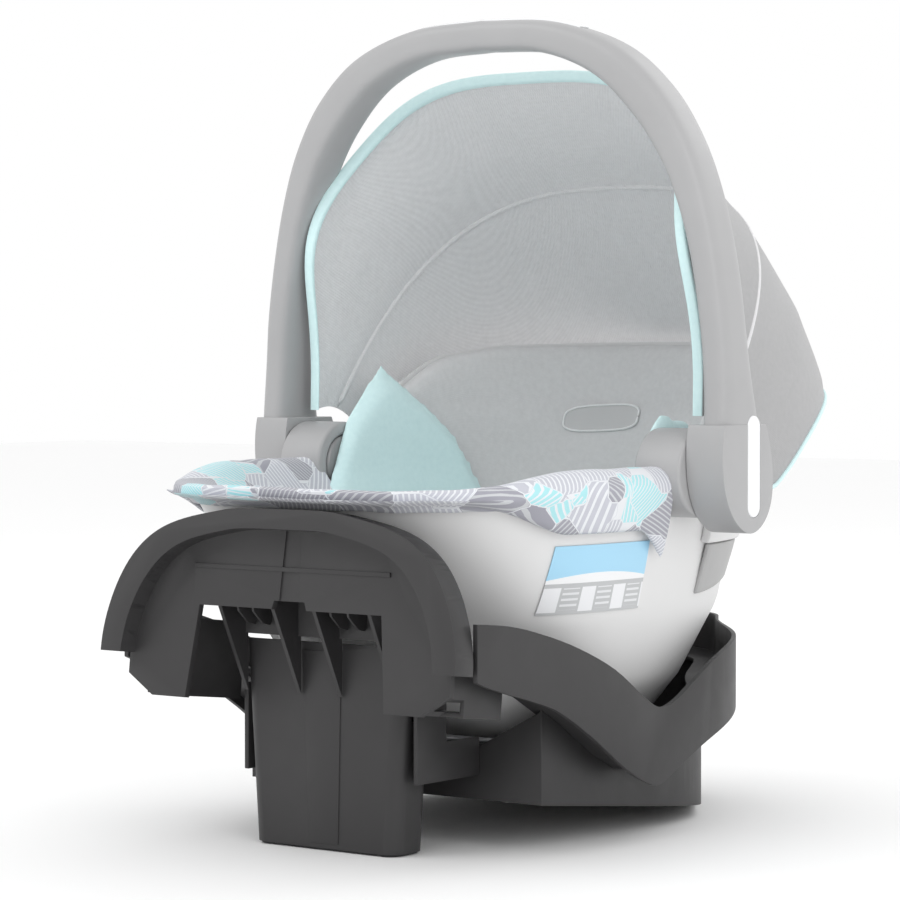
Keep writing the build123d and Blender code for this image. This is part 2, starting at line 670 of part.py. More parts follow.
for word, sign in (("left", -1), ("right", 1)):
    add(f"hub_drum_{word}", make_drum(sign))
    add(f"handle_axle_{word}", make_axle(sign))
    add(f"handle_button_{word}", make_button(sign))
    add(f"button_spring_{word}", make_button_spring(sign))
    add(f"infant_insert_{word}", make_insert_side(sign))
    add(f"shoulder_strap_{word}", make_shoulder_strap(sign))
    add(f"buckle_tongue_{word}", make_tongue(sign))
    add(f"chest_clip_{word}", make_chest_clip(sign))
    add(f"handle_hub_{word}", make_hub(sign))
    add(f"hub_insert_{word}", make_side_insert(sign))
add("canopy_front_fabric", make_canopy([FRONT_BOW_DEG, 22, REAR_BOW_DEG - 0.2]))
add("canopy_rear_fabric", without(make_canopy([REAR_BOW_DEG + 0.2, 52, 66, CANOPY_END_DEG]), shell_form(8.8)))
add("canopy_front_bow", make_bow(FRONT_BOW_DEG + 1))
add("canopy_rear_bow", make_bow(REAR_BOW_DEG))
add("handle_arch", make_handle())
add("handle_grip_insert", make_grip())

everything = Compound(children=[s for shape in pieces.values() for s in solids_of(shape)]).bounding_box()
shift = -(everything.min.Y + everything.max.Y) / 2
print(f"origin shift in Y {shift:.3f}; pivot at Y {shift:.3f}, Z {PIVOT_Z}")
for name, shape in pieces.items():
    export_step(Pos(0, shift, 0) * shape, f"parts/{name}.step")
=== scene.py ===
"""Infant car seat: the looks of a rear-facing carrier on its vehicle base."""

import json
import math

import bpy
from bpy.props import FloatProperty, FloatVectorProperty, IntProperty, PointerProperty
from bpy.types import Operator, Panel, PropertyGroup
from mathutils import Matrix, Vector, noise


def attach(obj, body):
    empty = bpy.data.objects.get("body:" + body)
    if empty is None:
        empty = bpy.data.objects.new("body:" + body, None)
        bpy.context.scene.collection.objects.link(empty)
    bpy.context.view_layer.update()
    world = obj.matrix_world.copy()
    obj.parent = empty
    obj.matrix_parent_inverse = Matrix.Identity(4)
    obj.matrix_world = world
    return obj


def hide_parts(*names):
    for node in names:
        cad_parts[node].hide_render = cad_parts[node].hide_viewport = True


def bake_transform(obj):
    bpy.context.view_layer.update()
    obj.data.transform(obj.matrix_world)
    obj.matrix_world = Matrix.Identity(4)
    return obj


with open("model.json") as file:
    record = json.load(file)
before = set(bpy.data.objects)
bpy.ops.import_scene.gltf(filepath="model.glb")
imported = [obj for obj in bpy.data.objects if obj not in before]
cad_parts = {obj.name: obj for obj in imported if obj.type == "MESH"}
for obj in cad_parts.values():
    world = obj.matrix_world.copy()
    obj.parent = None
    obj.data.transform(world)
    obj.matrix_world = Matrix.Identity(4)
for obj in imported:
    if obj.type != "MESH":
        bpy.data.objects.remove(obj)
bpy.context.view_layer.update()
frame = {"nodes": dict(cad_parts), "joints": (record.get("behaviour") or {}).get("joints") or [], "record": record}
JOINTS = {joint["name"]: joint for joint in frame["joints"]}
NODES, BODY_OF = frame["nodes"], {}
for body_name, members in frame["record"]["behaviour"]["bodies"].items():
    for member in members:
        BODY_OF[member] = body_name

bl_info = {
    "name": "Infant car seat builder",
    "version": (1, 0, 0),
    "blender": (4, 5, 0),
    "location": "View3D > Sidebar > Car Seat",
    "description": "Builds the visible pieces of an infant car seat round its CAD frame",
    "category": "Add Mesh",
}

MM = 0.001
PIVOT = Vector(JOINTS["carry_handle_swing"]["pos_m"])   # middle of the carry handle's axis
PIVOT_Z = PIVOT.z / MM

# Carrier shell stations in mm: (Z, half width, foot-end Y, head-end Y)
SHELL_STATIONS = (
    (54, 80, -62, 84), (76, 108, -98, 112), (112, 132, -138, 150), (165, 150, -180, 198),
    (206, 159, -206, 206), (248, 167, -236, 212), (262, 171, -258, 216), (380, 174, -292, 262),
)
FOOT_POWER, HEAD_POWER = 3.3, 2.15          # how square the bucket's two ends are
# Height of the shell's rim along the seat in mm: (Y, Z)
RIM_LINE = ((-300, 256), (-200, 259), (-110, 263), (-40, 267), (10, 272), (45, 292), (80, 332), (112, 355),
            (160, 364), (300, 368))
FRONT_BOW, REAR_BOW, CANOPY_END = 8.0, 37.0, 80.0       # degrees back from upright
CANOPY_HALF_WIDTH = 185                     # mm from the middle to the canopy's side
LABEL_FOOT, LABEL_HEAD = -135, -31          # ends of the side label along the seat, mm
LABEL_LOW, LABEL_HIGH = 171, 221            # its lower and upper edge, mm
PAD_DEPTH = -19.6                           # the lining's skin from the shell's outside, mm
PAD_FLOOR = 74                              # height of the lining's floor, mm
SEAM_GAP = 0.00002                          # points nearer than this are one point, metres


# ---- places and curves ---------------------------------------------------------------
def at(x, y, z):
    """A point in metres from millimetres about the handle's pivot plane."""
    return Vector((x * MM, y * MM + PIVOT.y, z * MM))


def through(points, t):
    """The point at 0..1 of a smooth curve that passes through all the points."""
    last = len(points) - 1
    place = min(max(t, 0.0), 1.0) * last
    i = min(int(place), last - 1)
    f = place - i
    p1, p2 = points[i], points[i + 1]
    p0 = points[i - 1] if i > 0 else [2 * a - b for a, b in zip(p1, p2)]
    p3 = points[i + 2] if i + 2 <= last else [2 * a - b for a, b in zip(p2, p1)]
    found = []
    for a, b, c, d in zip(p0, p1, p2, p3):
        found.append(0.5 * (2 * b + (c - a) * f + (2 * a - 5 * b + 4 * c - d) * f * f
                            + (3 * b - a - 3 * c + d) * f ** 3))
    return found


def height_on(line, y):
    """Linear look-up of Z in a line of (Y, Z) points."""
    if y <= line[0][0]:
        return line[0][1]
    for (y0, z0), (y1, z1) in zip(line, line[1:]):
        if y <= y1:
            return z0 + (z1 - z0) * (y - y0) / (y1 - y0)
    return line[-1][1]


def ease(a, b, value):
    """Smooth step from 0 at a to 1 at b."""
    t = min(max((value - a) / (b - a), 0.0), 1.0)
    return t * t * (3 - 2 * t)


def power_arc(angle, power):
    """Cosine and sine of a squared-off circle: power 2 is round, more is squarer."""
    c, s = math.cos(angle), math.sin(angle)
    return math.copysign(abs(c) ** (2 / power), c), math.copysign(abs(s) ** (2 / power), s)


def shell_plan(z):
    """Half width, foot-end Y and head-end Y of the shell at a height."""
    stations = SHELL_STATIONS
    if z <= stations[0][0]:
        return stations[0][1:]
    for a, b in zip(stations, stations[1:]):
        if z <= b[0]:
            f = (z - a[0]) / (b[0] - a[0])
            return tuple(p + (q - p) * f for p, q in zip(a[1:], b[1:]))
    return stations[-1][1:]


def shell_point(turn, z, grow=0.0, shrink=1.0):
    """A point on the bucket: turn 0..1 goes round from the right side to the head end."""
    half, foot, head = shell_plan(z)
    angle = turn * 2 * math.pi
    end, power = (head, HEAD_POWER) if math.sin(angle) > 0 else (-foot, FOOT_POWER)
    c, s = power_arc(angle, power)
    return Vector(((half + grow) * c * shrink, (end + grow) * s * shrink, z))


def side_x(y, z, grow=0.0):
    """Half width of the bucket at a place along the seat."""
    half, foot, head = shell_plan(z)
    end, power = (head, HEAD_POWER) if y > 0 else (-foot, FOOT_POWER)
    share = min(0.995, abs(y) / (end + grow))
    return (half + grow) * (1 - share ** power) ** (1 / power)


def rim_height(turn):
    return height_on(RIM_LINE, shell_point(turn, 300).y)


# ---- mesh making ---------------------------------------------------------------------
def select_only(obj):
    bpy.ops.object.select_all(action="DESELECT")
    obj.select_set(True)
    bpy.context.view_layer.objects.active = obj


def grid_piece(name, across, along, place):
    """A grid primitive whose every point goes to place(u, v), with its seams closed."""
    bpy.ops.object.select_all(action="DESELECT")
    bpy.ops.mesh.primitive_grid_add(x_subdivisions=across, y_subdivisions=along, size=2)
    obj = bpy.context.object
    obj.name = obj.data.name = name
    for vertex in obj.data.vertices:
        u, v = (vertex.co.x + 1) / 2, (vertex.co.y + 1) / 2
        vertex.co = at(*place(u, v))
    bpy.ops.object.mode_set(mode="EDIT")
    bpy.ops.mesh.select_all(action="SELECT")
    bpy.ops.mesh.remove_doubles(threshold=SEAM_GAP)
    bpy.ops.mesh.normals_make_consistent(inside=False)
    bpy.ops.object.mode_set(mode="OBJECT")
    return obj


def face_towards(obj, inside_point, outward=True):
    """Points an open sheet's faces away from (or towards) a point."""
    total = 0.0
    for polygon in obj.data.polygons:
        total += polygon.normal.dot(polygon.center - inside_point) * polygon.area
    if (total < 0) == outward:
        obj.data.flip_normals()


def apply_modifier(obj, kind, **settings):
    select_only(obj)
    modifier = obj.modifiers.new(kind.lower(), kind)
    for key, value in settings.items():
        setattr(modifier, key, value)
    bpy.ops.object.modifier_apply(modifier=modifier.name)


def thicken(obj, mm, offset=-1.0):
    apply_modifier(obj, "SOLIDIFY", thickness=mm * MM, offset=offset, use_even_offset=True)


def soften(obj, mm, segments=2, angle=35):
    apply_modifier(obj, "BEVEL", width=mm * MM, segments=segments, limit_method="ANGLE",
                   angle_limit=math.radians(angle), harden_normals=False)


def refine(obj, levels=1):
    apply_modifier(obj, "SUBSURF", levels=levels, render_levels=levels)


def finish_piece(obj, material, body, smooth=40, replaces=()):
    """Shading, material, body and slot of one visible piece."""
    select_only(obj)
    bpy.ops.object.shade_smooth_by_angle(angle=math.radians(smooth))
    obj.data.materials.clear()
    obj.data.materials.append(material)
    if body:
        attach(obj, body)
    if replaces:
        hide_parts(*replaces)
    return obj


def rounded_copy(node, material, width, segments=2, angle=30):
    """A moulded version of a CAD node: its own mesh, merged, cleaned and edge-rounded."""
    obj = bpy.data.objects.new(node + "_moulded", NODES[node].data.copy())
    bpy.context.scene.collection.objects.link(obj)
    select_only(obj)
    bpy.ops.object.mode_set(mode="EDIT")
    bpy.ops.mesh.select_all(action="SELECT")
    bpy.ops.mesh.remove_doubles(threshold=0.00001)
    bpy.ops.mesh.dissolve_limited(angle_limit=math.radians(1.0))
    bpy.ops.object.mode_set(mode="OBJECT")
    soften(obj, width, segments, angle)
    return finish_piece(obj, material, BODY_OF[node], 35, (node,))


def refinish(finish, *nodes):
    """Gives CAD nodes whose shape is right a finished material."""
    for node in nodes:
        NODES[node].data.materials.clear()
        NODES[node].data.materials.append(look(finish))


def inflate(obj, pressure, voxel, cap):
    """Swells a closed cushion as cloth under gentle pressure and keeps the moves small."""
    apply_modifier(obj, "REMESH", mode="VOXEL", voxel_size=voxel * MM)
    start = [v.co.copy() for v in obj.data.vertices]
    select_only(obj)
    cloth = obj.modifiers.new("cloth", "CLOTH")
    cloth.settings.use_pressure = True
    cloth.settings.uniform_pressure_force = pressure
    cloth.settings.effector_weights.gravity = 0
    cloth.settings.quality = 5
    cloth.settings.tension_stiffness = 20
    cloth.settings.compression_stiffness = 20
    scene = bpy.context.scene
    cloth.point_cache.frame_start, cloth.point_cache.frame_end = 1, 20
    for number in range(1, 21):
        scene.frame_set(number)
    bpy.ops.object.modifier_apply(modifier=cloth.name)
    scene.frame_set(1)
    for vertex, before in zip(obj.data.vertices, start):
        move = vertex.co - before
        if move.length > cap * MM:
            vertex.co = before + move.normalized() * cap * MM


def tube(name, points, radius, sides, steps):
    """Round piping through points in mm, drawn in to a point at both ends."""
    def place(u, v):
        spot = Vector(through(points, v))
        ahead = Vector(through(points, min(v + 0.01, 1))) - Vector(through(points, max(v - 0.01, 0)))
        ahead.normalize()
        side = ahead.cross(Vector((0.3, 0.2, 0.93))).normalized()
        up = side.cross(ahead)
        a = u * 2 * math.pi
        shrink = 1.0 if 0.001 < v < 0.999 else 0.001
        return spot + (side * math.cos(a) + up * math.sin(a)) * radius * shrink
    return grid_piece(name, sides, steps, place)


# ---- materials -----------------------------------------------------------------------
class Value:
    """A shader socket that takes part in Python arithmetic."""

    def __init__(self, kit, socket):
        self.kit, self.socket = kit, socket

    def maths(self, operation, *others):
        return self.kit.node("ShaderNodeMath", {"operation": operation}, **{
            str(i): other for i, other in enumerate((self, *others))})

    def __add__(self, other):
        return self.maths("ADD", other)

    def __sub__(self, other):
        return self.maths("SUBTRACT", other)

    def __mul__(self, other):
        return self.maths("MULTIPLY", other)

    def __truediv__(self, other):
        return self.maths("DIVIDE", other)

    def __radd__(self, other):
        return self.maths("ADD", other)

    def __rmul__(self, other):
        return self.maths("MULTIPLY", other)

    def __rsub__(self, other):
        return self.kit.node("ShaderNodeMath", {"operation": "SUBTRACT"}, **{"0": other, "1": self})

    def above(self, level):
        return self.maths("GREATER_THAN", level)

    def below(self, level):
        return self.maths("LESS_THAN", level)

    def sine(self):
        return self.maths("SINE")

    def clamped(self):
        return self.kit.node("ShaderNodeClamp", {}, Value=self)


class Finish:
    """One node material, built from a Principled shader and a few patterns."""

    def __init__(self, name, colour, roughness, **constants):
        self.material = bpy.data.materials.new(name)
        self.material.use_nodes = True
        self.tree = self.material.node_tree
        self.shader = self.tree.nodes["Principled BSDF"]
        self.shader.inputs["Base Color"].default_value = (*colour, 1)
        self.shader.inputs["Roughness"].default_value = roughness
        for key, value in constants.items():
            self.shader.inputs[key.replace("_", " ")].default_value = value

    def node(self, kind, settings, output=0, **inputs):
        made = self.tree.nodes.new(kind)
        for key, value in settings.items():
            setattr(made, key, value)
        for key, value in inputs.items():
            socket = made.inputs[int(key)] if key.isdigit() else made.inputs[key]
            if isinstance(value, Value):
                self.tree.links.new(value.socket, socket)
            else:
                socket.default_value = value
        return Value(self, made.outputs[output])

    def coordinates(self):
        return self.node("ShaderNodeTexCoord", {}, output="Object")

    def axes(self, vector=None):
        split = self.tree.nodes.new("ShaderNodeSeparateXYZ")
        self.tree.links.new((vector or self.coordinates()).socket, split.inputs[0])
        return [Value(self, split.outputs[i]) for i in range(3)]

    def cloud(self, scale, detail=3.0, output=0):
        return self.node("ShaderNodeTexNoise", {}, output=output, Vector=self.coordinates(), Scale=scale,
                         Detail=detail)

    def blend(self, mask, low, high):
        """Mixes two colours by a 0..1 mask."""
        made = self.tree.nodes.new("ShaderNodeMix")
        made.data_type = "RGBA"
        sockets = {"factor": made.inputs[0], "a": made.inputs[6], "b": made.inputs[7]}
        for key, value in (("factor", mask), ("a", low), ("b", high)):
            if isinstance(value, Value):
                self.tree.links.new(value.socket, sockets[key])
            else:
                sockets[key].default_value = value if key == "factor" else (*value, 1)
        return Value(self, made.outputs[2])

    def set(self, name, value):
        self.tree.links.new(value.socket, self.shader.inputs[name])

    def bump(self, height, strength, distance):
        self.set("Normal", self.node("ShaderNodeBump", {}, Height=height, Strength=strength,
                                     Distance=distance))

    def vary(self, low, high, scale, detail=4.0):
        self.set("Base Color", self.blend(self.cloud(scale, detail), low, high))


def shade(colour, factor):
    return tuple(min(1.0, c * factor) for c in colour)


def plastic(name, colour, roughness, grain=900.0, depth=0.00008, **constants):
    """Moulded plastic with a fine spark-eroded grain and slight unevenness of gloss."""
    finish = Finish(name, colour, roughness, **constants)
    finish.vary(shade(colour, 0.93), shade(colour, 1.07), 14)
    finish.set("Roughness", (finish.cloud(60) - 0.5) * 0.12 + roughness)
    finish.bump(finish.cloud(grain, 2) + finish.cloud(grain * 0.35, 2) * 0.5, 0.5, depth)
    return finish


def weave_height(finish, pitch=0.0011):
    """Plain weave: two crossed sets of yarns in the fabric's own plane."""
    x, y, z = finish.axes()
    turn = 2 * math.pi / pitch
    warp = ((x + y * 0.35) * turn).sine()
    weft = ((z + y * 0.9) * turn).sine()
    return warp * weft


def fabric(name, colour, roughness=0.85, pitch=0.0014, depth=0.00022, **constants):
    finish = Finish(name, colour, roughness, Sheen_Weight=0.25, Sheen_Roughness=0.5, **constants)
    yarn = weave_height(finish, pitch)
    flecks = finish.cloud(240, 3)
    tone = (yarn * 0.18 + flecks * 0.6 + 0.2).clamped()
    finish.set("Base Color", finish.blend(tone, shade(colour, 0.86), shade(colour, 1.12)))
    finish.bump(yarn * 0.6 + finish.cloud(35, 4) * 3.0, 0.6, depth)
    return finish


def shell_finish(colours):
    """Pale shell with painted light and shade: a height gradient from the low colour where it sits in the base to
    the high colour towards the rim.
    """
    low, high = colours.shell_low, colours.shell_high
    finish = Finish("carrier_shell_plastic", high, 0.45)
    z = finish.axes()[2]
    # Painted light and shade: this height mask blends the shell between its low and high colours.
    rise = ((z - 0.085) / 0.15).clamped()
    finish.set("Base Color", finish.blend(rise + (finish.cloud(12) - 0.5) * 0.06, low, high))
    finish.bump(finish.cloud(800, 2), 0.3, 0.00006)
    return finish


def print_finish(colours):
    """Printed cotton: angular leaves filled with fine curved lines on lavender grey."""
    ground = colours.print_ground
    finish = Finish("leaf_print_fabric", ground, 0.85, Sheen_Weight=0.2)
    point = finish.coordinates()
    wobble = finish.node("ShaderNodeVectorMath", {"operation": "MULTIPLY"}, **{
        "0": point, "1": (1.0, 1.25, 1.6)})
    cell = {"voronoi_dimensions": "3D", "distance": "MANHATTAN"}
    colour_of = finish.node("ShaderNodeTexVoronoi", cell, output="Color", Vector=wobble, Scale=21.0)
    r, g, _ = finish.axes(colour_of)
    edge = finish.node("ShaderNodeTexVoronoi", dict(cell, feature="F2"), output="Distance", Vector=wobble,
                       Scale=21.0) - finish.node("ShaderNodeTexVoronoi", cell, output="Distance",
                                                 Vector=wobble, Scale=21.0)
    x, y, z = finish.axes(point)
    turn = r * 6.28
    slope = x * turn.sine() + y * (turn + 1.57).sine() + z * (g * 2.0 - 1.0) * 1.2
    bow = finish.cloud(9, 1) * 0.02
    lines = ((slope + bow) * 2 * math.pi / 0.0042).sine().above(0.45)
    teal = r.above(0.72)
    dark = g.below(0.34) * (1 - teal)
    base = finish.blend(dark, ground, colours.print_dark)
    base = finish.blend(teal, base, colours.print_teal)
    ink = finish.blend(dark, colours.print_line, shade(colours.print_line, 0.75))
    inked = finish.blend(lines * edge.above(0.05), base, ink)
    finish.set("Base Color", finish.blend(edge.below(0.035), inked, shade(colours.print_line, 0.98)))
    finish.bump(weave_height(finish, 0.0012) * 0.5 + finish.cloud(40, 3) * 2.0, 0.5, 0.0002)
    return finish


def label_finish(colours):
    """Printed film: blue head, white band and grey foot with plain blocks, without any words."""
    finish = Finish("side_label_film", (0.8, 0.8, 0.8), 0.35, Coat_Weight=0.2)
    _, along, z = finish.axes()
    y = along - PIVOT.y
    middle = -(LABEL_FOOT + LABEL_HEAD) / 2 * MM
    arch = (y + middle) * (y + middle) * 1.6
    blue = (z + arch).above(0.2005)
    band = z.above(0.1935) * (1 - blue)
    base = finish.blend(band, colours.label_grey, (0.86, 0.87, 0.88))
    base = finish.blend(blue, base, colours.label_blue)
    cell = (y * 2 * math.pi / 0.034).sine()
    picture = cell.above(0.25) * z.above(0.1725) * z.below(0.1905)
    stripes = (z * 2 * math.pi / 0.0042).sine().above(0.3)
    bars = stripes * cell.below(-0.15) * z.above(0.174) * z.below(0.190)
    base = finish.blend(picture + bars * 0.75, base, (0.82, 0.83, 0.85))
    finish.set("Base Color", base)
    return finish


def webbing_finish(name, colour):
    """Harness webbing: diagonal ribs across a flat band."""
    finish = Finish(name, colour, 0.7, Sheen_Weight=0.15)
    x, y, z = finish.axes()
    rib = ((y + z + x) * 2 * math.pi / 0.0016).sine() * ((y + z - x) * 2 * math.pi / 0.0016).sine()
    tone = (rib * 0.3 + 0.5).clamped()
    finish.set("Base Color", finish.blend(tone, shade(colour, 0.8), shade(colour, 1.2)))
    finish.bump(rib, 0.6, 0.0002)
    return finish


FINISHES = {}


def look(name):
    """The finished material of this name, made on first use."""
    if name not in FINISHES:
        colours = bpy.context.scene.car_seat_colours
        makers = {
            "base_black": lambda: plastic("base_textured_plastic", colours.base, 0.5),
            "carrier_shell": lambda: shell_finish(colours),
            "carrier_grey": lambda: plastic("carrier_grey_plastic", colours.carrier, 0.45),
            "skirt_painted_shade": lambda: plastic("belt_flange_plastic", colours.flange, 0.5),
            "handle_grey": lambda: plastic("handle_satin_plastic", colours.handle, 0.36, 700, 0.00005),
            "insert_white": lambda: plastic("white_gloss_plastic", (0.86, 0.87, 0.88), 0.18, 500, 0.00001,
                                            Coat_Weight=0.4),
            "button_grey": lambda: plastic("button_gloss_plastic", shade(colours.handle, 0.7), 0.16, 500,
                                           0.00001, Coat_Weight=0.5),
            "fabric_grey": lambda: fabric("pad_grey_fabric", colours.pad),
            "canopy_outer": lambda: fabric("canopy_grey_fabric", colours.canopy),
            # The lining is a coarser mesh weave. Its colour, 1.95 times the canopy's, is painted light that
            # brightens the inside against the shade under the canopy.
            "canopy_lining_painted_light": lambda: fabric("canopy_lining_mesh", shade(colours.canopy, 1.95), 0.9, 0.0021,
                                            0.0004),
            "fabric_teal": lambda: fabric("teal_soft_fabric", colours.teal, 0.8, 0.0009, 0.00012),
            "fabric_print": lambda: print_finish(colours),
            "label_film": lambda: label_finish(colours),
            "patch_film": lambda: plastic("blank_patch_film", shade(colours.pad, 0.82), 0.45, 500, 0.00003),
            "piping_white": lambda: fabric("pale_stitched_edge", (0.88, 0.89, 0.90), 0.8, 0.0016, 0.0002),
            "webbing": lambda: webbing_finish("harness_webbing", shade(colours.pad, 0.75)),
            "buckle_plastic": lambda: plastic("buckle_plastic", shade(colours.handle, 0.55), 0.35),
            "button_red": lambda: plastic("buckle_button_plastic", (0.55, 0.12, 0.1), 0.3),
            "steel": lambda: Finish("drawn_steel", (0.62, 0.62, 0.64), 0.3, Metallic=1.0),
            "rubber_dark": lambda: plastic("rubber_pad", (0.03, 0.03, 0.032), 0.8),
        }
        FINISHES[name] = makers[name]().material
    return FINISHES[name]


class CarSeatColours(PropertyGroup):
    """Colours of the seat's finishes, linear RGB."""

    base: FloatVectorProperty(name="Base", description="Dark plastic of the vehicle base", subtype="COLOR",
                              default=(0.029, 0.028, 0.029))
    carrier: FloatVectorProperty(name="Carrier trim", description="Grey plastic of the carrier's trim",
                                 subtype="COLOR", default=(0.70, 0.70, 0.70))
    # Painted light and shade: the shell's low and high colours form a height gradient on one plastic.
    shell_low: FloatVectorProperty(name="Shell, low", description="Shell colour next to the base",
                                   subtype="COLOR", default=(0.68, 0.68, 0.68))
    shell_high: FloatVectorProperty(name="Shell, high", description="Shell colour under the rim",
                                    subtype="COLOR", default=(0.76, 0.76, 0.76))
    # Painted shade: the belt flange colour darkens the recessed skirt under the lip.
    flange: FloatVectorProperty(name="Belt flange", description="Darker band behind the hub",
                                subtype="COLOR", default=(0.40, 0.40, 0.40))
    handle: FloatVectorProperty(name="Handle", description="Satin plastic of the carry handle",
                                subtype="COLOR", default=(0.40, 0.40, 0.405))
    canopy: FloatVectorProperty(name="Canopy", description="Canopy fabric", subtype="COLOR",
                                default=(0.39, 0.39, 0.395))
    pad: FloatVectorProperty(name="Pad", description="Seat pad fabric", subtype="COLOR",
                             default=(0.71, 0.71, 0.715))
    teal: FloatVectorProperty(name="Teal", description="Teal inserts and bindings", subtype="COLOR",
                              default=(0.70, 0.97, 0.99))
    print_ground: FloatVectorProperty(name="Print ground", description="Ground of the leaf print",
                                      subtype="COLOR", default=(0.56, 0.57, 0.63))
    print_dark: FloatVectorProperty(name="Print dark", description="Dark leaves of the print",
                                    subtype="COLOR", default=(0.36, 0.36, 0.41))
    print_teal: FloatVectorProperty(name="Print teal", description="Teal leaves of the print",
                                    subtype="COLOR", default=(0.42, 0.76, 0.80))
    print_line: FloatVectorProperty(name="Print line", description="Pale lines of the print",
                                    subtype="COLOR", default=(0.80, 0.82, 0.85))
    label_blue: FloatVectorProperty(name="Label blue", description="Head of the side label",
                                    subtype="COLOR", default=(0.38, 0.68, 0.88))
    label_grey: FloatVectorProperty(name="Label grey", description="Foot of the side label",
                                    subtype="COLOR", default=(0.50, 0.51, 0.52))


class CarSeatSizes(PropertyGroup):
    """Sizes that shape the soft and moulded pieces."""

    edge_radius: FloatProperty(name="Edge radius", description="Rounding of moulded edges", default=0.0016,
                               unit="LENGTH")
    canopy_sag: FloatProperty(name="Canopy sag", description="How far fabric sinks between bows",
                              default=0.006, unit="LENGTH")
    binding_width: FloatProperty(name="Binding width", description="Width of the canopy's teal edge",
                                 default=0.0085, unit="LENGTH")
    pad_swell: FloatProperty(name="Pad swell", description="Most that a cushion may swell", default=0.007,
                             unit="LENGTH")
    round_steps: IntProperty(name="Round steps", description="Points round the bucket", default=112)


def sizes():
    return bpy.context.scene.car_seat_sizes


# ---- stage ---------------------------------------------------------------------------
class CARSEAT_OT_stage(Operator):
    """Adds the pale floor and soft studio lights"""
    bl_idname = "carseat.stage"
    bl_label = "Stage"

    def execute(self, context):
        bpy.ops.object.select_all(action="DESELECT")
        bpy.ops.mesh.primitive_plane_add(size=14, location=(0, 0, -0.0006))
        floor = context.object
        floor.name = "studio_floor"
        pale = Finish("pale_floor", (0.96, 0.96, 0.96), 0.9)
        pale.vary((0.955, 0.955, 0.955), (0.965, 0.965, 0.965), 2)
        floor.data.materials.append(pale.material)
        world = bpy.data.worlds.new("studio_light")
        world.use_nodes = True
        world.node_tree.nodes["Background"].inputs[0].default_value = (1, 1, 1, 1)
        world.node_tree.nodes["Background"].inputs[1].default_value = 1.0
        context.scene.world = world
        context.scene.view_settings.view_transform = "Standard"
        for name, place, size, power in (
                ("key_softbox", (-1.6, -2.2, 2.4), 2.0, 16), ("fill_softbox", (2.6, -1.4, 1.6), 2.2, 16),
                ("back_softbox", (0.6, 2.4, 2.2), 2.0, 12)):
            data = bpy.data.lights.new(name, "AREA")
            data.size, data.energy = size, power
            lamp = bpy.data.objects.new(name, data)
            lamp.location = place
            lamp.rotation_euler = (Vector((0, 0, 0.25)) - lamp.location).to_track_quat("-Z", "Y").to_euler()
            context.scene.collection.objects.link(lamp)
        return {"FINISHED"}


class CARSEAT_OT_camera(Operator):
    """Adds the camera, low and off the foot end's right corner"""
    bl_idname = "carseat.camera"
    bl_label = "Camera"

    def execute(self, context):
        azimuth, drop = math.radians(37), math.radians(1.864)
        distance, aside, height = 2.6, 0.0354, 0.368
        right = Vector((math.cos(azimuth), math.sin(azimuth), 0))
        level = Vector((-math.sin(azimuth), math.cos(azimuth), 0))
        data = bpy.data.cameras.new("studio_camera")
        data.lens, data.sensor_width = 135.2, 36
        camera = bpy.data.objects.new("studio_camera", data)
        camera.location = PIVOT - level * distance - right * aside
        camera.location.z = height
        ahead = level * math.cos(drop) - Vector((0, 0, math.sin(drop)))
        camera.rotation_euler = ahead.to_track_quat("-Z", "Y").to_euler()
        context.scene.collection.objects.link(camera)
        context.scene.camera = camera
        return {"FINISHED"}


# ---- base ----------------------------------------------------------------------------
class CARSEAT_OT_base(Operator):
    """Moulds the vehicle base, its anti-rebound panel and the recline foot"""
    bl_idname = "carseat.base"
    bl_label = "Base"

    def execute(self, context):
        radius = sizes().edge_radius / MM
        dark = look("base_black")
        for node, width in (("base_lower_body", radius), ("base_deck", 0.5), ("base_collar", 1.3),
                            ("anti_rebound_panel", 0.9), ("recline_foot", 1.0), ("foot_guide_sleeve", 0.8),
                            ("foot_lock_plunger", 0.8)):
            rounded_copy(node, dark, width)
        refinish("steel", "latch_bars", "latch_bar_brackets", "base_screws", "foot_lock_spring")
        refinish("rubber_dark", "rear_rest_pads", "foot_tread_pad")
        return {"FINISHED"}


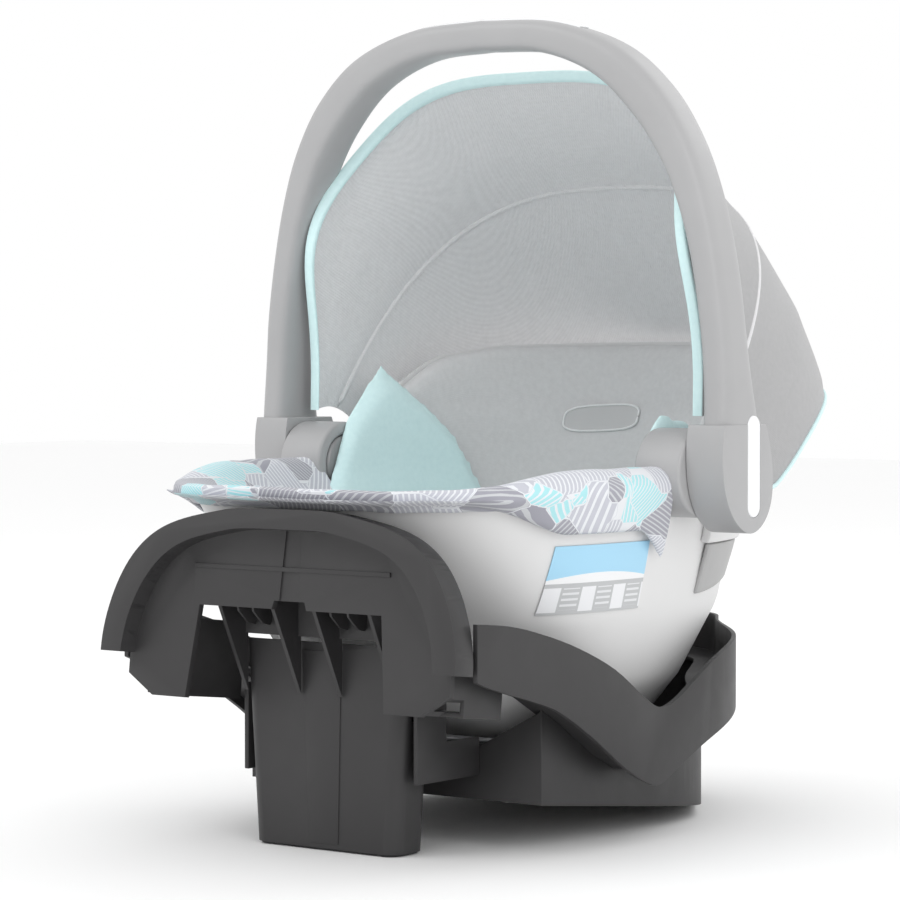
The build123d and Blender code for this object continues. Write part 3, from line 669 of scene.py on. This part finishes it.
# ---- carrier shell -------------------------------------------------------------------
class CARSEAT_OT_shell(Operator):
    """Shapes the carrier's bucket with a turned rim"""
    bl_idname = "carseat.shell"
    bl_label = "Carrier shell"

    def execute(self, context):
        floor = SHELL_STATIONS[0][0]
        floor_end = 0.16                        # share of the shell's grid

        def place(u, v):
            """Crowned floor from its middle outwards, then up the wall to the rim."""
            if v < floor_end:
                out = v / floor_end
                spot = shell_point(u, floor, 0, math.sin(out * math.pi / 2) * 0.999 + 0.001)
                return spot - Vector((0, 0, 2 * (1 - out)))
            rise = (v - floor_end) / (1 - floor_end)
            return shell_point(u, floor + (rim_height(u) - floor - 1) * rise)

        shell = grid_piece("carrier_shell_moulding", sizes().round_steps, 44, place)
        face_towards(shell, at(0, 0, 200))
        thicken(shell, 3.6)
        soften(shell, 1.0, 2, 60)
        finish_piece(shell, look("carrier_shell"), "carrier", 60, ("carrier_shell",))
        self.flange()
        return {"FINISHED"}

    def flange(self):
        """Belt-guide band round the head end: a pale lip above a recessed skirt whose darker colour is painted
        shade under the lip.
        """
        def lip(u, v):
            turn = 0.03 + 0.44 * u
            z = 239 - 24 * v
            return shell_point(turn, z, 8.0 - 1.2 * v)

        def skirt(u, v):
            turn = 0.035 + 0.43 * u
            y = shell_point(turn, 200).y
            low = 176 + 20 * ease(40, 230, y)
            return shell_point(turn, 214 + (low - 214) * v, 4.6 - 2.4 * v)

        # The skirt's darker colour is painted shade where the lip overhangs it.
        for name, form, thick, material in (("belt_guide_lip", lip, 7.0, "carrier_grey"),
                                            ("belt_guide_skirt", skirt, 3.2, "skirt_painted_shade")):
            band = grid_piece(name, 72, 8, form)
            face_towards(band, at(0, 0, 200))
            thicken(band, thick)
            soften(band, 1.2, 2, 50)
            replaced = ("belt_guide_flange",) if name == "belt_guide_lip" else ()
            finish_piece(band, look(material), "carrier", 50, replaced)


# ---- seat pad and soft goods ---------------------------------------------------------
def puffed(point, amount, scale=0.05):
    """Small soft unevenness of a padded skin, in mm."""
    return amount * noise.noise(Vector(point) * scale)


class CARSEAT_OT_pad(Operator):
    """Lays the padded lining in the bucket"""
    bl_idname = "carseat.pad"
    bl_label = "Seat pad"

    def execute(self, context):
        floor_end, wall_end = 0.14, 0.72        # shares of the lining's grid

        def place(u, v):
            """Floor from its middle outwards, up the wall, then over the rim."""
            shoulder = rim_height(u) - 11
            if v < floor_end:
                return shell_point(u, PAD_FLOOR, PAD_DEPTH, v / floor_end * 0.999 + 0.001)
            if v < wall_end:
                rise = (v - floor_end) / (wall_end - floor_end)
                spot = shell_point(u, PAD_FLOOR + (shoulder - PAD_FLOOR) * rise, PAD_DEPTH)
                crease = 2.2 * math.exp(-((spot.z - 318) / 4) ** 2) * ease(60, 140, spot.y)
                puff = puffed(spot, 2.4, 0.018) * ease(0, 0.2, rise)
                return shell_point(u, spot.z, PAD_DEPTH - puff + crease)
            a = (v - wall_end) / (1 - wall_end) * math.pi
            return shell_point(u, shoulder + 9 * math.sin(a), -12.2 - 7.4 * math.cos(a))

        pad = grid_piece("seat_pad_lining", sizes().round_steps, 70, place)
        face_towards(pad, at(0, 0, 200), outward=False)
        thicken(pad, 3.0)
        finish_piece(pad, look("fabric_grey"), "carrier", 70, ("seat_pad",))
        return {"FINISHED"}


class CARSEAT_OT_rim_roll(Operator):
    """Wraps the printed, padded roll over the rim at the foot end"""
    bl_idname = "carseat.rim_roll"
    bl_label = "Printed rim roll"

    def execute(self, context):
        def section(u):
            """Top and outer hem heights along the roll."""
            y = shell_point(self.turn(u), 262).y
            top = 273 - 12 * ease(-120, -235, y)
            hem = 252 - 20 * ease(-225, -150, y) - 14 * ease(-62, -30, y) - 36 * ease(-34, -8, y)
            return top, hem

        def ring(u, v):
            """Closed section: inside face up, over the rim and down the outside to the hem."""
            turn = self.turn(u)
            top, hem = section(u)
            outline = ((-30, 200), (-32, 228), (-28, 250), (-16, top - 1), (-1, top + 2), (10, top - 7),
                       (12.5, (top + hem) / 2), (9.5, hem + 1), (5.2, hem), (4.8, top - 14), (-4, top - 8),
                       (-13, top - 9), (-19, 246), (-21, 226), (-20.5, 202), (-30, 200))
            grow, z = through(outline, v)
            spot = shell_point(turn, z, grow)
            puff = puffed((spot.x, spot.y, 0), 1.2, 0.03)
            return shell_point(turn, z + (puff if z > 240 else 0), grow)

        roll = grid_piece("printed_rim_roll", 140, 46, ring)
        close_ends(roll)
        finish_piece(roll, look("fabric_print"), "carrier", 70, ("rim_fabric_roll",))
        return {"FINISHED"}

    @staticmethod
    def turn(u):
        """Turn round the bucket, from in front of the right hub by the foot to the left hub."""
        return -0.004 - 0.492 * u


class CARSEAT_OT_inserts(Operator):
    """Fills the teal wings and the seat cushion of the infant insert"""
    bl_idname = "carseat.inserts"
    bl_label = "Infant insert"

    def execute(self, context):
        for side, word in ((-1, "left"), (1, "right")):
            wing = self.wing(side, word)
        self.seat()
        return {"FINISHED"}

    def wing(self, side, word):
        """A leaf-shaped wing that stands against the pad beside the child."""
        peak = 352 if side < 0 else 292
        spine = ((-84, 120), (-62, 190), (-30, 262), (2, 318), (44, peak))      # front edge (Y, Z)
        back = ((84, 118), (128, 178), (134, 240), (112, 300), (46, peak))      # back edge (Y, Z)

        def place(u, v):
            front, rear = through(spine, v), through(back, v)
            a = u * 2 * math.pi
            f = 0.5 - 0.5 * math.cos(a)
            y, z = (front[i] + (rear[i] - front[i]) * f for i in range(2))
            thick = 8.0 * max(0.0, math.sin(a)) ** 0.6 if a < math.pi else 2.5 * math.sin(a)
            keep = 0.25 + 0.75 * math.sin(math.pi * min(0.98, max(0.02, v))) ** 0.5
            return (side * (side_x(y, max(z, 112), -25.5) - thick * keep), y, z)

        wing = grid_piece("infant_wing_" + word, 40, 40, place)
        close_ends(wing)
        inflate(wing, 3.0, 4.5, sizes().pad_swell / MM * 0.6)
        apply_modifier(wing, "SMOOTH", factor=0.5, iterations=8)
        refine(wing)
        return finish_piece(wing, look("fabric_teal"), "carrier", 80,
                            ("infant_insert_" + word,))

    def seat(self):
        def place(u, v):
            a = v * 2 * math.pi
            c, s = power_arc(a, 3.2)
            spread = math.sin(math.pi * u) ** 0.25
            x = c * 50 * max(spread, 0.02)
            y = 14 - 76 * math.cos(math.pi * u)
            return (x, y, 82 + 5.5 * s * max(spread, 0.02) + 10 * ((y - 14) / 76) ** 2)

        seat = grid_piece("infant_seat_cushion", 36, 40, place)
        inflate(seat, 3.0, 4.5, 3)
        refine(seat)
        finish_piece(seat, look("fabric_teal"), "carrier", 80, ("insert_seat",))


def close_ends(obj):
    """Fills the open rims of a tube-like piece and points its faces outwards."""
    select_only(obj)
    bpy.ops.object.mode_set(mode="EDIT")
    bpy.ops.mesh.select_all(action="SELECT")
    bpy.ops.mesh.fill_holes(sides=0)
    bpy.ops.mesh.normals_make_consistent(inside=False)
    bpy.ops.object.mode_set(mode="OBJECT")


class CARSEAT_OT_harness(Operator):
    """Dresses the harness: webbing, chest clip, buckle, tongues and adjuster"""
    bl_idname = "carseat.harness"
    bl_label = "Harness"

    def execute(self, context):
        for node in ("shoulder_strap_left", "shoulder_strap_right", "crotch_strap", "adjuster_strap"):
            rounded_copy(node, look("webbing"), 0.5, 1)
        for node in ("buckle_body", "adjuster_housing", "chest_clip_left", "chest_clip_right"):
            rounded_copy(node, look("buckle_plastic"), 1.8, 3)
        rounded_copy("buckle_button", look("button_red"), 1.0, 2)
        rounded_copy("adjuster_button", look("button_grey"), 0.8, 2)
        for node in ("buckle_tongue_left", "buckle_tongue_right", "splitter_plate"):
            rounded_copy(node, look("steel"), 0.4, 1)
        return {"FINISHED"}


# ---- canopy --------------------------------------------------------------------------
def canopy_point(across, angle, grow=0.0):
    """Canopy surface: across 0..1 from the right end over the top to the left end."""
    t = max(0.0, (angle - FRONT_BOW) / (CANOPY_END - FRONT_BOW))
    top = 307 - 20 * math.sin(math.pi * min(t / 0.9, 1)) ** 0.8 - 22 * t
    foot = 42 + 30 * min(t, 1.0)
    power = 3.2 - 0.45 * math.sin(math.pi * min(t / 0.7, 1.0))
    c, s = power_arc(across * math.pi, power)
    radius = foot + (top + grow - foot) * s
    a = math.radians(angle)
    return Vector((c * (CANOPY_HALF_WIDTH + grow), radius * math.sin(a), PIVOT_Z + radius * math.cos(a)))


def front_edge(across):
    """Angle of the canopy's front hem: swept forward halfway up its sides."""
    up = math.sin(min(max(across, 0.0), 1.0) * math.pi)
    return FRONT_BOW - 11 * math.exp(-((up - 0.3) / 0.3) ** 2)


def rear_edge(across):
    """Angle of the canopy's rear hem: it drops towards the hubs."""
    up = math.sin(min(max(across, 0.0), 1.0) * math.pi)
    return 76 + 30 * math.exp(-up / 0.16)


class CARSEAT_OT_canopy(Operator):
    """Stretches the canopy fabric over its bows and binds its edges"""
    bl_idname = "carseat.canopy"
    bl_label = "Canopy"

    def execute(self, context):
        self.section("canopy_front_section", front_edge, lambda across: REAR_BOW - 0.15,
                     ("canopy_front_fabric",), ("front_bow", "rear_bow"))
        self.section("canopy_rear_section", lambda across: REAR_BOW + 0.15, rear_edge,
                     ("canopy_rear_fabric",), ("rear_bow", "carrier"))
        self.binding()
        self.trims()
        return {"FINISHED"}

    def section(self, name, start, end, replaced, bodies):
        sag = sizes().canopy_sag / MM * (1.0 if start is front_edge else 0.3)

        def place(u, v):
            angle = start(u) + (end(u) - start(u)) * v
            dip = sag * math.sin(math.pi * v) * math.sin(math.pi * u) ** 0.5
            wrinkle = 0.9 * noise.noise(Vector((u * 9, v * 4, sag))) * math.sin(math.pi * v)
            return canopy_point(u, angle, wrinkle - dip)

        cloth = grid_piece(name, 96, 36, place)
        face_towards(cloth, at(0, 40, 330))
        thicken(cloth, 1.6)
        finish_piece(cloth, look("canopy_outer"), None, 80, replaced)
        # Faces towards the pivot take the lining, whose brightened colour is painted light against the shade
        # inside the canopy.
        cloth.data.materials.append(look("canopy_lining_painted_light"))
        for polygon in cloth.data.polygons:
            if polygon.normal.dot(polygon.center - PIVOT) < 0:
                polygon.material_index = 1
        first, last = start(0.5), end(0.5)
        flat_width(first, last)
        flat_depth(first, last)
        blend_line(first)
        blend_line(last)
        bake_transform(cloth)

    def binding(self):
        width = sizes().binding_width / MM

        def place(u, v):
            a = v * 2 * math.pi
            c, s = power_arc(a, 3.0)
            return canopy_point(u, front_edge(u) - 0.35 + 0.85 * s, width / 2 * c - width / 2 + 1.5)

        band = grid_piece("canopy_teal_binding", 96, 16, place)
        close_ends(band)
        finish_piece(band, look("fabric_teal"), "front_bow", 60, ("canopy_front_bow",))

    def trims(self):
        """Seam piping on the rear bow and the hem's teal piping."""
        seam = [tuple(canopy_point(i / 30, REAR_BOW, -1.5)) for i in range(31)]
        piping = tube("canopy_bow_seam", seam, 2.4, 8, 150)
        # The seam piping takes the lining's brightened colour, which is painted light.
        finish_piece(piping, look("canopy_lining_painted_light"), "rear_bow", 70, ("canopy_rear_bow",))
        hem = [tuple(canopy_point(i / 60, rear_edge(i / 60), 0.4)) for i in range(61)]
        edge = tube("canopy_hem_piping", hem, 1.6, 8, 150)
        finish_piece(edge, look("fabric_teal"), "carrier", 70)


def blend_line(angle):
    """The point on the middle of the canopy's top at an angle, in metres."""
    return tuple(at(*canopy_point(0.5, angle)))


def flat_width(start, end):
    middle = (start + end) / 2
    spots = [canopy_point(i / 60, middle) for i in range(61)]
    return sum((b - a).length for a, b in zip(spots, spots[1:])) * MM


def flat_depth(start, end):
    spots = [canopy_point(0.5, start + (end - start) * i / 20) for i in range(21)]
    return sum((b - a).length for a, b in zip(spots, spots[1:])) * MM


# ---- handle --------------------------------------------------------------------------
HANDLE_OUTER = ((221.5, 296), (220.5, 330), (217, 380), (210, 430), (199, 478), (183, 520), (158, 558),
                (120, 589), (64, 607.5), (0, 611.5))
HANDLE_INNER = ((198, 296), (197.5, 330), (194, 380), (187, 425), (177, 464), (163, 498), (139, 533),
                (104, 565), (56, 584), (0, 588))


class CARSEAT_OT_handle(Operator):
    """Sweeps the carry handle and dresses its hubs, grip and white inserts"""
    bl_idname = "carseat.handle"
    bl_label = "Carry handle"

    def execute(self, context):
        def place(u, v):
            side = 1 if v <= 0.5 else -1
            t = v * 2 if v <= 0.5 else (1 - v) * 2
            outer, inner = through(HANDLE_OUTER, t), through(HANDLE_INNER, t)
            mid = [(a + b) / 2 for a, b in zip(outer, inner)]
            half = math.dist(outer, inner) / 2
            out = [(a - b) / 2 / half for a, b in zip(outer, inner)]
            c, s = power_arc(u * 2 * math.pi, 3.6)
            depth = 19.5 - 1.5 * ease(0.5, 1.0, t) + 7 * (1 - ease(0.0, 0.2, t))
            lean = 5.5 * (1 - ease(0.0, 0.25, t)) - 9.5 * ease(0.25, 0.95, t)
            return (side * (mid[0] + out[0] * half * c), lean + depth * s, mid[1] + out[1] * half * c)

        arch = grid_piece("carry_handle", 40, 150, place)
        close_ends(arch)
        finish_piece(arch, look("handle_grey"), "handle", 60, ("handle_arch",))
        self.grip()
        for word in ("left", "right"):
            rounded_copy("handle_hub_" + word, look("handle_grey"), 9.0, 5, angle=50)
            rounded_copy("hub_insert_" + word, look("insert_white"), 0.8, 2, angle=50)
            rounded_copy("hub_drum_" + word, look("handle_grey"), 2.5, 3, angle=50)
            rounded_copy("handle_button_" + word, look("button_grey"), 2.5, 3, angle=50)
            refinish("steel", "handle_axle_" + word, "button_spring_" + word)
        return {"FINISHED"}

    def grip(self):
        """White soft-touch insert on the front of the grip."""
        def place(u, v):
            side = (u - 0.5) * 2
            t = 1 - abs(side) * 0.155
            outer = through(HANDLE_OUTER, t)
            x = math.copysign(outer[0], side)
            a = (v - 0.5) * 2
            z = outer[1] + 0.6 - 9.0 * max(0.0, -a - 0.2)
            return (x, -11 + 9.5 * a, z)

        strip = grid_piece("grip_white_insert", 48, 12, place)
        face_towards(strip, at(0, 0, 560))
        thicken(strip, 1.6, 0)
        soften(strip, 0.6, 2, 50)
        finish_piece(strip, look("insert_white"), "handle", 50, ("handle_grip_insert",))


# ---- labels and small parts ----------------------------------------------------------
class CARSEAT_OT_labels(Operator):
    """Lays the wordless side label and the blank patch, and moulds the small parts"""
    bl_idname = "carseat.labels"
    bl_label = "Labels and small parts"

    def execute(self, context):
        def label(u, v):
            z = LABEL_LOW + (LABEL_HIGH - LABEL_LOW) * v
            y = LABEL_FOOT + (LABEL_HEAD - LABEL_FOOT) * u
            return (side_x(y, z, 0.5), y, z)

        film = grid_piece("side_label_blank", 30, 14, label)
        face_towards(film, at(0, -80, 200))
        thicken(film, 0.5, 1)
        finish_piece(film, look("label_film"), "carrier", 50, ("side_label",))
        self.patch()
        rounded_copy("carrier_release_lever", look("carrier_grey"), 1.5, 2)
        refinish("steel", "release_lever_pins")
        return {"FINISHED"}

    def patch(self):
        """Blank name patch with a raised pale outline on the head end of the pad."""
        def on_pad(x, z, proud):
            half, _, head = shell_plan(z)
            deep = 20.4 + proud
            share = abs(x) / (half - deep)
            return (x, (head - deep) * (1 - share ** HEAD_POWER) ** (1 / HEAD_POWER), z)

        def outline(t, scale):
            c, s = power_arc(t * 2 * math.pi, 3.4)
            return -40 + 30 * c * scale, 304 + 10.5 * s * scale + 1.5 * c * scale

        def film(u, v):
            x, z = outline(u, max(v, 0.01))
            return on_pad(x, z, 0.4)

        patch = grid_piece("name_patch_blank_film", 48, 8, film)
        face_towards(patch, at(0, 0, 300), outward=False)
        thicken(patch, 0.5, 1)
        finish_piece(patch, look("patch_film"), "carrier", 50, ("name_patch_blank",))
        ring = [on_pad(*outline(i / 32, 1.0), 1.2) for i in range(33)]
        edge = tube("name_patch_outline", ring, 1.0, 6, 120)
        finish_piece(edge, look("piping_white"), "carrier", 70)


class CARSEAT_PT_panel(Panel):
    """Sidebar list of the seat's build steps and its main values"""
    bl_idname = "CARSEAT_PT_panel"
    bl_label = "Infant car seat"
    bl_space_type = "VIEW_3D"
    bl_region_type = "UI"
    bl_category = "Car Seat"

    def draw(self, context):
        for group in (context.scene.car_seat_sizes, context.scene.car_seat_colours):
            box = self.layout.box()
            for key in group.__annotations__:
                box.prop(group, key)
        for step in STEPS:
            self.layout.operator(step.bl_idname)


STEPS = (CARSEAT_OT_camera, CARSEAT_OT_stage, CARSEAT_OT_base, CARSEAT_OT_shell, CARSEAT_OT_pad,
         CARSEAT_OT_rim_roll, CARSEAT_OT_inserts, CARSEAT_OT_harness, CARSEAT_OT_canopy,
         CARSEAT_OT_handle, CARSEAT_OT_labels)


def register():
    for made in (CarSeatColours, CarSeatSizes, *STEPS, CARSEAT_PT_panel):
        bpy.utils.register_class(made)
    bpy.types.Scene.car_seat_colours = PointerProperty(type=CarSeatColours)
    bpy.types.Scene.car_seat_sizes = PointerProperty(type=CarSeatSizes)


def unregister():
    del bpy.types.Scene.car_seat_sizes
    del bpy.types.Scene.car_seat_colours
    for made in reversed((CarSeatColours, CarSeatSizes, *STEPS, CARSEAT_PT_panel)):
        bpy.utils.unregister_class(made)


def main():
    register()
    for step in STEPS:
        group, name = step.bl_idname.split(".")
        getattr(getattr(bpy.ops, group), name)()


if __name__ == "__main__":
    main()
